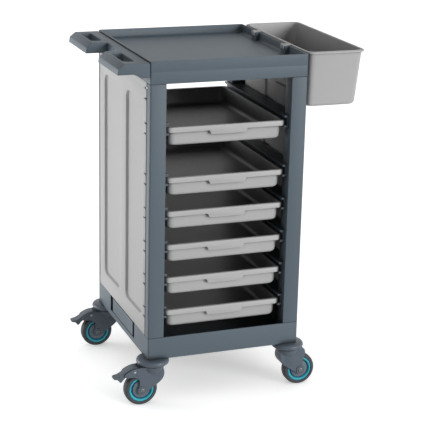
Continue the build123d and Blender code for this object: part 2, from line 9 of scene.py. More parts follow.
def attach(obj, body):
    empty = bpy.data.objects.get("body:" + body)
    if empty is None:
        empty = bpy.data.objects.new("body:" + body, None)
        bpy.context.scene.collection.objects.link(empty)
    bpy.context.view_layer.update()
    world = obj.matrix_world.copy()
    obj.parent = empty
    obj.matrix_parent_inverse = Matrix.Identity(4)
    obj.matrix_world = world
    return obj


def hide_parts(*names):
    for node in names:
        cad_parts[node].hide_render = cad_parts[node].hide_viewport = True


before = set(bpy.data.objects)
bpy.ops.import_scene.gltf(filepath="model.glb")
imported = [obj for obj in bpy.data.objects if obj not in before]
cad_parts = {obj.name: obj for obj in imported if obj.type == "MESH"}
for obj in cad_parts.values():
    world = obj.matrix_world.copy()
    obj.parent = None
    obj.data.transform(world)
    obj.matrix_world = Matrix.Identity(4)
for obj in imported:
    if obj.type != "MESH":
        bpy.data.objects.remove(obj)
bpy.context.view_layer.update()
bpy.ops.object.select_all(action="DESELECT")

# Sizes are in millimetres about the middle of the trolley's frame, as in the part's source
MM = 0.001
MIDDLE_X = 42.5
HALF_W = 237.5
HALF_D = 260.0
WALL, CORNER = 5.0, 5.0
BASE_BOTTOM, DECK_UNDER, DECK_TOP, BASE_TOP = 143.0, 161.0, 166.0, 210.0
TOP_BOTTOM, TOP_UNDER, TOP_FLOOR, RIM_TOP = 965.0, 1000.0, 1005.0, 1030.0
POST_W, POST_D = 48.0, 46.0
CLIP_HALF = 114.5
TRAY_HEIGHTS = (832.0, 684.5, 584.0, 483.5, 383.0, 282.5)
FLANGE_RISE = 15.0
CORNERS = {
    "front_left": (-1, -1),
    "rear_left": (-1, 1),
    "front_right": (1, -1),
    "rear_right": (1, 1),
}
SWIVEL_X, SWIVEL_Y = 215.5, 238.0
TRAIL, WHEEL_R = 38.0, 50.0

# Points closer than this are merged
SPECK = 0.01


def at(x, y, z):
    """Point of the shared frame, in metres."""
    return Vector(((x - MIDDLE_X) * MM, y * MM, z * MM))


# Modelling by hand


def activate(piece):
    bpy.ops.object.select_all(action="DESELECT")
    piece.select_set(True)
    bpy.context.view_layer.objects.active = piece


def named(name, size=(1, 1, 1)):
    """Name of the primitive just added, with its size and place put into its mesh."""
    piece = bpy.context.object
    piece.scale = size
    piece.name = name
    piece.data.name = name
    bpy.ops.object.transform_apply(location=True, rotation=True, scale=True)
    return piece


@contextmanager
def editing(piece, kind="FACE"):
    """Edit mode on one piece, with nothing selected."""
    activate(piece)
    bpy.ops.object.mode_set(mode="EDIT")
    bpy.ops.mesh.select_mode(type=kind)
    bpy.ops.mesh.select_all(action="DESELECT")
    yield
    bpy.ops.object.mode_set(mode="OBJECT")


def pick_edges(piece, wanted):
    """Select the edges whose middle, in millimetres about the frame's middle, is wanted."""
    mesh = bmesh.from_edit_mesh(piece.data)
    for edge in mesh.edges:
        middle = sum((vertex.co for vertex in edge.verts), Vector()) / 2
        x, y, z = middle / MM
        edge.select_set(wanted(x + MIDDLE_X, y, z))
    mesh.select_flush_mode()
    bmesh.update_edit_mesh(piece.data)


def block(name, low, high):
    """Cube stretched between two corners."""
    low, high = at(*low), at(*high)
    bpy.ops.mesh.primitive_cube_add(size=1, location=(low + high) / 2)
    return named(name, high - low)


def outward():
    bpy.ops.mesh.select_all(action="SELECT")
    bpy.ops.mesh.normals_make_consistent(inside=False)


def profile(name, points, axis, start, end):
    """Outline laid square to an axis and drawn out along it."""
    places = {
        "X": lambda a, b, along: at(along, a, b),
        "Y": lambda a, b, along: at(a, along, b),
        "Z": lambda a, b, along: at(a, b, along),
    }
    place = places[axis]
    bpy.ops.mesh.primitive_circle_add(vertices=len(points), fill_type="NGON")
    piece = named(name)
    for vertex, (a, b) in zip(piece.data.vertices, points):
        vertex.co = place(a, b, start)
    with editing(piece):
        bpy.ops.mesh.select_all(action="SELECT")
        way = place(0, 0, end) - place(0, 0, start)
        bpy.ops.mesh.extrude_region_move(TRANSFORM_OT_translate={"value": way})
        outward()
    return piece


def ring_middle(ring, upright):
    a0, a1, b0, b1, along = ring
    a, b = (a0 + a1) / 2, (b0 + b1) / 2
    return at(along, a, b) if upright else at(a, b, along)


def drawn(name, rings, corner, steps=6, upright=False):
    """Rounded rectangle extruded and resized through a list of rings.

    A level ring is x0, x1, y0, y1 and its height; an upright one is y0, y1, z0, z1 and its x.
    """
    a0, a1, b0, b1, _ = rings[0]
    turn = Matrix(((0, 0, 1), (1, 0, 0), (0, 1, 0))) if upright else Matrix.Identity(3)
    start = ring_middle(rings[0], upright)
    bpy.ops.mesh.primitive_plane_add(size=1, location=start, rotation=turn.to_euler())
    piece = named(name, ((a1 - a0) * MM, (b1 - b0) * MM, 1))
    with editing(piece, "VERT"):
        bpy.ops.mesh.select_all(action="SELECT")
        bpy.ops.mesh.bevel(offset=corner * MM, segments=steps, affect="VERTICES")
        bpy.ops.mesh.select_mode(type="FACE")
        bpy.ops.mesh.select_all(action="SELECT")
        for last, ring in zip(rings, rings[1:]):
            middle = ring_middle(ring, upright)
            way = middle - ring_middle(last, upright)
            bpy.ops.mesh.extrude_region_move(TRANSFORM_OT_translate={"value": way})
            wide = (ring[1] - ring[0]) / (last[1] - last[0])
            long = (ring[3] - ring[2]) / (last[3] - last[2])
            stretch = (1, wide, long) if upright else (wide, long, 1)
            bpy.ops.transform.resize(value=stretch, center_override=middle)
        outward()
    return piece


def turned(name, section, centre, axis, steps=64):
    """Closed section of radius and height spun once round an axis."""
    axis = Vector(axis)
    side = axis.orthogonal().normalized()
    bpy.ops.mesh.primitive_circle_add(vertices=len(section), fill_type="NOTHING")
    piece = named(name)
    for vertex, (radius, height) in zip(piece.data.vertices, section):
        vertex.co = centre + side * radius * MM + axis * height * MM
    with editing(piece, "EDGE"):
        bpy.ops.mesh.select_all(action="SELECT")
        bpy.ops.mesh.spin(steps=steps, angle=math.tau, center=centre, axis=axis)
        bpy.ops.mesh.select_all(action="SELECT")
        bpy.ops.mesh.remove_doubles(threshold=SPECK * MM)
        bpy.ops.mesh.select_all(action="SELECT")
        bpy.ops.mesh.dissolve_degenerate(threshold=SPECK * MM / 2)
        bpy.ops.mesh.select_all(action="SELECT")
        bpy.ops.mesh.delete_loose(use_verts=True, use_edges=True)
        outward()
    return piece


def bar(name, centre, axis, radius, length, steps=48):
    """Round bar about an axis, its middle at the centre."""
    half = length / 2
    section = [(0, -half), (radius, -half), (radius, half), (0, half)]
    return turned(name, section, centre, axis, steps)


def apply(piece, modifier):
    activate(piece)
    bpy.ops.object.modifier_apply(modifier=modifier.name)


def clean(piece):
    """Merge the specks that a joint or a cut leaves along its line."""
    with editing(piece, "VERT"):
        bpy.ops.mesh.select_all(action="SELECT")
        bpy.ops.mesh.remove_doubles(threshold=SPECK * MM)
        bpy.ops.mesh.select_all(action="SELECT")
        bpy.ops.mesh.dissolve_degenerate(threshold=SPECK * MM)


def combine(piece, tool, operation):
    """Join a second piece to the first, or cut it away, and discard it."""
    modifier = piece.modifiers.new(operation.lower(), "BOOLEAN")
    modifier.operation = operation
    modifier.solver = "EXACT"
    modifier.object = tool
    apply(piece, modifier)
    bpy.data.objects.remove(tool, do_unlink=True)
    clean(piece)


def soften(piece, width, segments=3, angle=30):
    """Round every sharp edge a little and shade the rest smooth."""
    modifier = piece.modifiers.new("soft edges", "BEVEL")
    modifier.width = width * MM
    modifier.segments = segments
    modifier.limit_method = "ANGLE"
    modifier.angle_limit = math.radians(angle)
    apply(piece, modifier)
    clean(piece)
    smooth(piece)


def smooth(piece, angle=35):
    activate(piece)
    bpy.ops.object.shade_smooth_by_angle(angle=math.radians(angle))


def copied(piece, name, move):
    """Second of the same piece with its own mesh, moved in millimetres."""
    twin = piece.copy()
    twin.data = piece.data.copy()
    twin.name = name
    twin.data.name = name
    bpy.context.scene.collection.objects.link(twin)
    twin.data.transform(Matrix.Translation(Vector(move) * MM))
    return twin


def mirrored(piece, name):
    """Mirror image of a left piece, for the right side of the frame."""
    twin = copied(piece, name, (MIDDLE_X, 0, 0))
    twin.data.transform(Matrix.Scale(-1, 4, Vector((1, 0, 0))))
    twin.data.transform(Matrix.Translation(Vector((-MIDDLE_X * MM, 0, 0))))
    twin.data.flip_normals()
    return twin


# Finishes


def tint(red, green, blue):
    """Colour written on the usual 0 to 255 scale, as the shader takes it."""
    levels = [level / 255 for level in (red, green, blue)]
    linear = [v / 12.92 if v <= 0.04045 else ((v + 0.055) / 1.055) ** 2.4 for v in levels]
    return (*linear, 1.0)


def new_group(name, inputs, outputs):
    """Empty node group with named sockets."""
    tree = bpy.data.node_groups.new(name, "ShaderNodeTree")
    for label, kind, value in inputs:
        socket = tree.interface.new_socket(label, in_out="INPUT", socket_type=kind)
        socket.default_value = value
    for label, kind in outputs:
        tree.interface.new_socket(label, in_out="OUTPUT", socket_type=kind)
    return tree, tree.nodes.new("NodeGroupInput"), tree.nodes.new("NodeGroupOutput")


def add(tree, kind, **values):
    """New node with its settings or input values given by name."""
    node = tree.nodes.new(kind)
    for key, value in values.items():
        label = key.replace("_", " ")
        if label in node.inputs:
            node.inputs[label].default_value = value
        else:
            setattr(node, key, value)
    return node


FLOAT, COLOUR = "NodeSocketFloat", "NodeSocketColor"


def tone_group():
    """Slow drift of a moulding's colour and gloss."""
    tree, given, out = new_group(
        "moulding_tone",
        [("Colour", COLOUR, (0.5, 0.5, 0.5, 1)), ("Amount", FLOAT, 0.05), ("Scale", FLOAT, 6.0),
         ("Gloss", FLOAT, 0.45), ("Gloss Drift", FLOAT, 0.08)],
        [("Colour", COLOUR), ("Roughness", FLOAT)],
    )
    place = add(tree, "ShaderNodeTexCoord")
    cloud = add(tree, "ShaderNodeTexNoise", Detail=5.0, Roughness=0.6)
    centred = add(tree, "ShaderNodeMath", operation="SUBTRACT")
    centred.inputs[1].default_value = 0.5
    swing = add(tree, "ShaderNodeMath", operation="MULTIPLY_ADD")
    swing.inputs[2].default_value = 1.0
    shade = add(tree, "ShaderNodeHueSaturation")
    gloss = add(tree, "ShaderNodeMath", operation="MULTIPLY_ADD")
    link = tree.links.new
    link(place.outputs["Object"], cloud.inputs["Vector"])
    link(given.outputs["Scale"], cloud.inputs["Scale"])
    link(cloud.outputs["Fac"], centred.inputs[0])
    link(centred.outputs[0], swing.inputs[0])
    link(given.outputs["Amount"], swing.inputs[1])
    link(given.outputs["Colour"], shade.inputs["Color"])
    link(swing.outputs[0], shade.inputs["Value"])
    link(centred.outputs[0], gloss.inputs[0])
    link(given.outputs["Gloss Drift"], gloss.inputs[1])
    link(given.outputs["Gloss"], gloss.inputs[2])
    link(shade.outputs["Color"], out.inputs["Colour"])
    link(gloss.outputs[0], out.inputs["Roughness"])
    return tree


def grain_group():
    """Fine spark-eroded grain of a mould's face, with a faint slow ripple below it."""
    tree, given, out = new_group(
        "moulding_grain",
        [("Grain Scale", FLOAT, 900.0), ("Ripple Scale", FLOAT, 25.0), ("Ripple", FLOAT, 0.3)],
        [("Height", FLOAT)],
    )
    place = add(tree, "ShaderNodeTexCoord")
    grain = add(tree, "ShaderNodeTexVoronoi", feature="SMOOTH_F1")
    ripple = add(tree, "ShaderNodeTexNoise", Detail=2.0)
    total = add(tree, "ShaderNodeMath", operation="MULTIPLY_ADD")
    link = tree.links.new
    link(place.outputs["Object"], grain.inputs["Vector"])
    link(place.outputs["Object"], ripple.inputs["Vector"])
    link(given.outputs["Grain Scale"], grain.inputs["Scale"])
    link(given.outputs["Ripple Scale"], ripple.inputs["Scale"])
    link(ripple.outputs["Fac"], total.inputs[0])
    link(given.outputs["Ripple"], total.inputs[1])
    link(grain.outputs["Distance"], total.inputs[2])
    link(total.outputs[0], out.inputs["Height"])
    return tree


def edge_group():
    """Mask of edges that hands and knocks have rubbed."""
    tree, given, out = new_group(
        "edge_rub", [("Reach", FLOAT, 0.002), ("Patches", FLOAT, 30.0)], [("Mask", FLOAT)]
    )
    place = add(tree, "ShaderNodeTexCoord")
    face = add(tree, "ShaderNodeNewGeometry")
    rounded = add(tree, "ShaderNodeBevel", samples=4)
    match = add(tree, "ShaderNodeVectorMath", operation="DOT_PRODUCT")
    edge = add(tree, "ShaderNodeMapRange", clamp=True)
    edge.inputs["From Min"].default_value = 0.985
    edge.inputs["From Max"].default_value = 0.9
    patches = add(tree, "ShaderNodeTexNoise", Detail=4.0)
    worn = add(tree, "ShaderNodeMapRange", clamp=True)
    worn.inputs["From Min"].default_value = 0.35
    worn.inputs["From Max"].default_value = 0.7
    both = add(tree, "ShaderNodeMath", operation="MULTIPLY")
    link = tree.links.new
    link(given.outputs["Reach"], rounded.inputs["Radius"])
    link(rounded.outputs["Normal"], match.inputs[0])
    link(face.outputs["Normal"], match.inputs[1])
    link(match.outputs["Value"], edge.inputs["Value"])
    link(place.outputs["Object"], patches.inputs["Vector"])
    link(given.outputs["Patches"], patches.inputs["Scale"])
    link(patches.outputs["Fac"], worn.inputs["Value"])
    link(edge.outputs["Result"], both.inputs[0])
    link(worn.outputs["Result"], both.inputs[1])
    link(both.outputs[0], out.inputs["Mask"])
    return tree


def dust_group():
    """Mask of faint dust on what faces up."""
    tree, given, out = new_group("settled_dust", [("Amount", FLOAT, 0.1)], [("Mask", FLOAT)])
    place = add(tree, "ShaderNodeTexCoord")
    face = add(tree, "ShaderNodeNewGeometry")
    parts = add(tree, "ShaderNodeSeparateXYZ")
    level = add(tree, "ShaderNodeMapRange", clamp=True)
    level.inputs["From Min"].default_value = 0.6
    drift = add(tree, "ShaderNodeTexNoise", Scale=18.0, Detail=6.0)
    lie = add(tree, "ShaderNodeMath", operation="MULTIPLY")
    share = add(tree, "ShaderNodeMath", operation="MULTIPLY")
    link = tree.links.new
    link(face.outputs["Normal"], parts.inputs[0])
    link(parts.outputs["Z"], level.inputs["Value"])
    link(place.outputs["Object"], drift.inputs["Vector"])
    link(level.outputs["Result"], lie.inputs[0])
    link(drift.outputs["Fac"], lie.inputs[1])
    link(lie.outputs[0], share.inputs[0])
    link(given.outputs["Amount"], share.inputs[1])
    link(share.outputs[0], out.inputs["Mask"])
    return tree


# Painted shade: open-space levels over which deep hollows and tight creases darken to full shade
HOLLOW_RANGE, CREASE_RANGE = (0.18, 0.5), (0.56, 0.92)


def painted_shade_group():
    """Mask of deep hollows and tight creases, for painted shade that darkens the colour where light
    hardly reaches.
    """
    tree, given, out = new_group(
        "painted_hollow_shade", [("Reach", FLOAT, 0.5), ("Crease Reach", FLOAT, 0.02)], [("Mask", FLOAT)]
    )
    both = add(tree, "ShaderNodeMath", operation="MAXIMUM")
    ranges = (("Reach", HOLLOW_RANGE), ("Crease Reach", CREASE_RANGE))
    for socket, (label, (closed, opened)) in enumerate(ranges):
        around = add(tree, "ShaderNodeAmbientOcclusion", samples=8)
        deep = add(tree, "ShaderNodeMapRange", clamp=True)
        deep.inputs["From Min"].default_value = closed
        deep.inputs["From Max"].default_value = opened
        deep.inputs["To Min"].default_value = 1.0
        deep.inputs["To Max"].default_value = 0.0
        tree.links.new(given.outputs[label], around.inputs["Distance"])
        tree.links.new(around.outputs["AO"], deep.inputs["Value"])
        tree.links.new(deep.outputs["Result"], both.inputs[socket])
    tree.links.new(both.outputs[0], out.inputs["Mask"])
    return tree


TONE, GRAIN, EDGE = tone_group(), grain_group(), edge_group()
DUST, PAINTED_SHADE_MASK = dust_group(), painted_shade_group()


def placed(tree, group, **values):
    """Node group set into a material with its own values."""
    node = tree.nodes.new("ShaderNodeGroup")
    node.node_tree = group
    for key, value in values.items():
        node.inputs[key.replace("_", " ")].default_value = value
    return node


def over(tree, below, colour, mask):
    """Plain colour laid over another through a mask."""
    mix = tree.nodes.new("ShaderNodeMix")
    mix.data_type = "RGBA"
    mix.inputs["B"].default_value = colour
    tree.links.new(mask, mix.inputs["Factor"])
    tree.links.new(below, mix.inputs["A"])
    return mix.outputs["Result"]


PAINTED_SHADE_LEVEL = 0.42
SPECULAR_LEVEL = 0.35
DUST_COLOUR = (196, 194, 190)


def finish(
    name, colour, rubbed, gloss=0.5, drift=0.06, grain=900.0, depth=0.08, dust=0.06, metal=0.0, painted_shade_strength=1.0
):
    """Moulded or metal finish: drifting tone, fine grain, rubbed edges, a little dust, and painted
    shade in hollows and creases.
    """
    material = bpy.data.materials.new(name)
    material.use_nodes = True
    tree = material.node_tree
    shader = tree.nodes["Principled BSDF"]
    shader.inputs["Metallic"].default_value = metal
    shader.inputs["Specular IOR Level"].default_value = SPECULAR_LEVEL
    tone = placed(tree, TONE, Colour=tint(*colour), Amount=drift, Gloss=gloss)
    worn = placed(tree, EDGE)
    lain = placed(tree, DUST, Amount=dust)
    skin = placed(tree, GRAIN, Grain_Scale=grain)
    bump = add(tree, "ShaderNodeBump", Strength=depth, Distance=MM)
    edged = over(tree, tone.outputs["Colour"], tint(*rubbed), worn.outputs["Mask"])
    dusted = over(tree, edged, tint(*DUST_COLOUR), lain.outputs["Mask"])
    # Painted shade: the colour darkened in hollows and creases, as strongly as the finish asks
    shade = tint(*(level * (1 - painted_shade_strength * (1 - PAINTED_SHADE_LEVEL)) for level in colour))
    shaded = over(tree, dusted, shade, placed(tree, PAINTED_SHADE_MASK).outputs["Mask"])
    tree.links.new(shaded, shader.inputs["Base Color"])
    tree.links.new(tone.outputs["Roughness"], shader.inputs["Roughness"])
    tree.links.new(skin.outputs["Height"], bump.inputs["Height"])
    tree.links.new(bump.outputs["Normal"], shader.inputs["Normal"])
    return material


# Where a finish gives a last value, it sets how strongly painted shade darkens its hollows and creases;
# the rest take it at full strength
SLATE = finish("slate_moulding", (97, 110, 120), (122, 134, 142), gloss=0.5, dust=0.02)
LIGHT_GREY = finish("light_grey_moulding", (204, 204, 204), (214, 214, 213), gloss=0.42, drift=0.04)
BIN_GREY = finish("bin_moulding", (206, 206, 206), (216, 216, 215), gloss=0.42, drift=0.04, painted_shade_strength=0.5)
PANEL_GREY = finish("panel_sheet", (198, 198, 198), (208, 208, 208), gloss=0.55, drift=0.03, painted_shade_strength=0.12)
RUNNER_DARK = finish("runner_moulding", (92, 106, 116), (118, 130, 138), gloss=0.4, painted_shade_strength=0.5)
CASTOR_GREY = finish(
    "castor_moulding", (96, 107, 119), (120, 130, 140), gloss=0.34, dust=0.03, painted_shade_strength=0.3
)
# The hub is the castor's own plastic painted lighter, to cancel the shade it sits in inside the fork
CASTOR_GREY_PAINTED_LIGHTER = finish("castor_moulding_painted_lighter", (112, 123, 135), (130, 140, 150), gloss=0.34, dust=0.03, painted_shade_strength=0.05)
TEAL = finish("wheel_core_teal", (70, 196, 216), (120, 214, 226), gloss=0.35, dust=0.02, painted_shade_strength=0.1)
DEEP_TEAL = finish("wheel_dish_teal", (18, 104, 136), (60, 140, 162), gloss=0.4, dust=0.04, painted_shade_strength=0.2)
TYRE = finish(
    "tyre_rubber", (80, 84, 89), (102, 105, 108), gloss=0.7, grain=500.0, depth=0.2, dust=0.12, painted_shade_strength=0.4
)
ZINC = finish(
    "dull_zinc", (104, 108, 112), (150, 152, 154), gloss=0.45, drift=0.1, grain=1400.0, metal=1.0
)
STEEL = finish(
    "plain_steel", (168, 170, 172), (200, 200, 200), gloss=0.32, drift=0.1, grain=1400.0, metal=1.0
)
BLACKED = finish("blackened_steel", (38, 40, 42), (60, 62, 64), gloss=0.5, dust=0.01)


def dress(piece, body, slot, material, *nodes):
    """Give a finished piece its material, the body it moves with and the nodes it stands for."""
    piece.data.materials.clear()
    piece.data.materials.append(material)
    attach(piece, body)
    if nodes:
        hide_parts(*nodes)


def frame_ring(inset, z):
    """Level outline of the frame, inset all round."""
    return (-HALF_W + inset, HALF_W - inset, -HALF_D + inset, HALF_D - inset, z)


# Base and top mouldings

RIBS_ACROSS, RIBS_DEEP, RIB_HALF = 4, 5, 2.0


def ribbed(name, z0, z1):
    """Crossed ribs under a moulding's floor, joined into one grid."""
    x, y = HALF_W - WALL, HALF_D - WALL
    bars = []
    for number in range(1, RIBS_ACROSS + 1):
        middle = -HALF_W + 2 * HALF_W * number / (RIBS_ACROSS + 1)
        bars.append(((middle - RIB_HALF, -y, z0), (middle + RIB_HALF, y, z1)))
    for number in range(1, RIBS_DEEP + 1):
        middle = -HALF_D + 2 * HALF_D * number / (RIBS_DEEP + 1)
        bars.append(((-x, middle - RIB_HALF, z0), (x, middle + RIB_HALF, z1)))
    grid = block(name, *bars[0])
    for number, (low, high) in enumerate(bars[1:]):
        combine(grid, block(f"{name}_{number}", low, high), "UNION")
    return grid


def add_post_seats(piece, z0, z1, inset):
    """Blocks in the four corners of the base, that the posts stand on."""
    for side, end in CORNERS.values():
        x0, x1 = sorted((side * (HALF_W - inset), side * (HALF_W - POST_W)))
        y0, y1 = sorted((end * (HALF_D - inset), end * (HALF_D - POST_D)))
        combine(piece, block("post_seat", (x0, y0, z0), (x1, y1, z1)), "UNION")


def base_moulding():
    """Shallow tray under the frame, with a spring tongue between two pockets in each side.

    Joins and cuts reach a little past the faces that they meet.
    """
    rings = [
        frame_ring(WALL, DECK_UNDER), frame_ring(WALL, BASE_BOTTOM), frame_ring(0, BASE_BOTTOM),
        frame_ring(0, BASE_TOP), frame_ring(WALL, BASE_TOP), frame_ring(WALL, DECK_TOP),
    ]
    piece = drawn("base_moulding", rings, CORNER, 4)
    soften(piece, 1.2)
    add_post_seats(piece, BASE_BOTTOM + 3, BASE_TOP - 0.5, WALL / 2)
    slot_half, slot_low, slot_high = 10.5, 160.0, BASE_TOP + 5
    tongue_sunk, tongue_drop = 1.5, 4.0
    pocket_deep, pocket_wall, pocket_floor = 9.0, 3.0, DECK_TOP + 2
    reach = CLIP_HALF + slot_half
    inside = HALF_W - WALL
    for side in (-1, 1):
        cuts = [
            (HALF_W - tongue_sunk, 0, reach, slot_low),
            (inside - 2, 0, reach, BASE_TOP - tongue_drop),
        ]
        for y in (-CLIP_HALF, CLIP_HALF):
            back, front = sorted((side * (inside - pocket_deep - pocket_wall), side * (inside + 0.5)))
            low = (back, y - slot_half - pocket_wall, slot_low - 2)
            high = (front, y + slot_half + pocket_wall, slot_high + pocket_wall)
            combine(piece, block("pocket", low, high), "UNION")
            cuts.append((inside - pocket_deep, y, slot_half, pocket_floor))
            cuts.append((inside - 1, y, slot_half, slot_low))
        for depth, y, half, z in cuts:
            near, far = sorted((side * depth, side * (HALF_W + 3)))
            cut = block("clip_cut", (near, y - half, z), (far, y + half, slot_high))
            combine(piece, cut, "DIFFERENCE")
    smooth(piece)
    return piece


def top_moulding():
    """Sunk tray in a thin rim with two seats for the bin's hooks, over a skirt with a shadow line."""
    line, line_half, line_depth = 998.5, 1.5, 0.4
    rings = [
        frame_ring(WALL, TOP_UNDER), frame_ring(WALL, TOP_BOTTOM), frame_ring(0, TOP_BOTTOM),
        frame_ring(0, line - line_half), frame_ring(line_depth, line), frame_ring(0, line + line_half),
        frame_ring(0, RIM_TOP), frame_ring(6, RIM_TOP),
        frame_ring(7, TOP_FLOOR + 9), frame_ring(8.5, TOP_FLOOR + 4), frame_ring(12, TOP_FLOOR + 1),
        frame_ring(17, TOP_FLOOR),
    ]
    piece = drawn("top_moulding", rings, CORNER, 4)
    seat_x, seat_half = 217.5, 15.0
    for y in (-CLIP_HALF, CLIP_HALF):
        low = (seat_x, y - seat_half, TOP_FLOOR - 2)
        high = (HALF_W - 3, y + seat_half, RIM_TOP)
        combine(piece, block("hook_seat", low, high), "UNION")
    soften(piece, 1.0)
    return piece


TOP_RIBS_LOW = 986.0
dress(base_moulding(), "frame", "slate_plastic", SLATE, "base_frame")
dress(top_moulding(), "frame", "slate_plastic", SLATE, "top_tray")
dress(ribbed("base_ribs", BASE_BOTTOM + 0.5, DECK_UNDER + 1), "frame", "slate_plastic", SLATE)
dress(ribbed("top_ribs", TOP_RIBS_LOW, TOP_UNDER + 1), "frame", "slate_plastic", SLATE)

# Corner posts


def corner_post(name, side, end):
    """Post with a step that the side panel's edge lies in, and at the front a deep groove beside it."""
    strip = 28.0 if end < 0 else 14.0
    rebate, groove, panel_edge = 6.0, 20.0, 36.0
    plan = [(0, 0), (POST_W, 0), (POST_W, POST_D), (rebate, POST_D)]
    if end < 0:
        plan += [(rebate, panel_edge), (groove, panel_edge), (groove, strip), (0, strip)]
    else:
        plan += [(rebate, strip), (0, strip)]
    points = [(side * (HALF_W - u), end * (HALF_D - v)) for u, v in plan]
    seam = 0.8
    piece = profile(name, points, "Z", BASE_TOP + seam, TOP_BOTTOM - seam)
    half_way = (BASE_TOP + TOP_BOTTOM) / 2

    def outer_corner(x, y, z):
        return abs(x) > HALF_W - 1 and abs(y) > HALF_D - 1 and abs(z - half_way) < 1

    with editing(piece, "EDGE"):
        pick_edges(piece, outer_corner)
        bpy.ops.mesh.bevel(offset=CORNER * MM, segments=4, affect="EDGES")
    soften(piece, 0.8, 2)
    return piece


for place, (side, end) in CORNERS.items():
    post = corner_post(f"{place}_corner_post", side, end)
    dress(post, "frame", "slate_plastic", SLATE, f"{place}_post")

# Side panels

PANEL_FACE, PANEL_SHEET = HALF_W - 0.6, 4.4
PANEL_Y0, PANEL_Y1 = -HALF_D + 36, HALF_D - 15
FIELDS = ((-196.0, -30.0), (28.0, 194.0))
FIELD_Z0, FIELD_Z1, FIELD_CORNER = 262.0, 908.0, 24.0
FIELD_BACK = [(2.4, 3.0), (-2.6, 10.6)]
FIELD_HOLLOW = [(1.0, -1.0), (0.2, 0.3), (-0.8, 1.6), (-2.6, 6.4), (-3.6, 7.6), (-6.0, 8.0)]
SPARE_NOTCHES = 932.5


def pressed(name, field, steps):
    """Field of a panel drawn through steps of margin and depth behind the panel's face."""
    y0, y1 = field
    rings = [
        (y0 - grow, y1 + grow, FIELD_Z0 - grow, FIELD_Z1 + grow, -PANEL_FACE + depth)
        for grow, depth in steps
    ]
    return drawn(name, rings, FIELD_CORNER, 8, True)


def side_panel(name):
    """Left panel: a sheet with two pressed fields, notched along its front edge."""
    low = (-PANEL_FACE, PANEL_Y0, BASE_TOP)
    piece = block(name, low, (-PANEL_FACE + PANEL_SHEET, PANEL_Y1, TOP_BOTTOM))
    for field in FIELDS:
        combine(piece, pressed("field_back", field, FIELD_BACK), "UNION")
    for field in FIELDS:
        combine(piece, pressed("field_hollow", field, FIELD_HOLLOW), "DIFFERENCE")
    notch_length, notch_half = 18.0, 2.5
    for height in (SPARE_NOTCHES, *TRAY_HEIGHTS):
        for z in (height - FLANGE_RISE, height + FLANGE_RISE):
            low = (-PANEL_FACE - 5, PANEL_Y0 - 5, z - notch_half)
            high = (-PANEL_FACE + 6, PANEL_Y0 + notch_length, z + notch_half)
            combine(piece, block("notch", low, high), "DIFFERENCE")
    soften(piece, 0.7, 2, 50)
    return piece


left_panel = side_panel("left_side_panel")
right_panel = mirrored(left_panel, "right_side_panel")
dress(left_panel, "frame", "light_grey_plastic", PANEL_GREY, "left_panel")
dress(right_panel, "frame", "light_grey_plastic", PANEL_GREY, "right_panel")

# Runners


def tray_runner(name, height):
    """Left runner: a channel for the tray's lip with two flanges that hook into the panel."""
    web, nose = -(HALF_W - POST_W), -(HALF_W - POST_W - 13)
    inner = web + 3
    half_length, half_flange, half_sheet = 245, 213.5, 2
    flange_end, hook_end, hook_root, hook_rear = -224.5, -236.2, -223, -206.7
    section = [
        (web, -18), (nose, -18), (nose, -12), (inner, -12),
        (inner, 12), (nose, 12), (nose, 18), (web, 18),
    ]
    piece = profile(name, [(x, height + z) for x, z in section], "Y", -half_length, half_length)
    for middle in (height - FLANGE_RISE, height + FLANGE_RISE):
        z0, z1 = middle - half_sheet, middle + half_sheet
        flange = block("flange", (flange_end, -half_flange, z0), (web + 1, half_flange, z1))
        combine(piece, flange, "UNION")
        hook = block("hook", (hook_end, -half_flange, z0), (hook_root, hook_rear, z1))
        combine(piece, hook, "UNION")
    soften(piece, 1.5, 3)
    return piece


first_runner = tray_runner("left_tray_runner_1", TRAY_HEIGHTS[0])
for number, height in enumerate(TRAY_HEIGHTS, 1):
    left = first_runner
    if number > 1:
        left = copied(first_runner, f"left_tray_runner_{number}", (0, 0, height - TRAY_HEIGHTS[0]))
    right = mirrored(left, f"right_tray_runner_{number}")
    dress(left, "frame", "dark_plastic", RUNNER_DARK, f"left_runner_{number}")
    dress(right, "frame", "dark_plastic", RUNNER_DARK, f"right_runner_{number}")

# Trays

TRAY_HALF, TRAY_Y0, TRAY_Y1 = 185.5, -243.0, 249.0
TRAY_RISE, TRAY_CORNER = 3.5, 18.0
TRAY_OUTSIDE = [(38, -58.5), (37, -56), (21, -56), (16.5, -54.5), (13.5, -51), (12, -46), (9.7, -3.2)]
LIP_DROP = 15.5
TRAY_LIP = [
    (3, -3.2), (3, -LIP_DROP), (0.8, -LIP_DROP), (0, -14.6), (0, -2.8), (0.9, -0.9), (2.8, 0),
    (9.6, 0), (11.6, -0.8),
]
TRAY_INSIDE = [(12.6, -2.6), (14.8, -41), (16.6, -47), (20.5, -51.4), (27, -53)]
GRIP_MIDDLE, GRIP_HALF = 5.0, 53.0


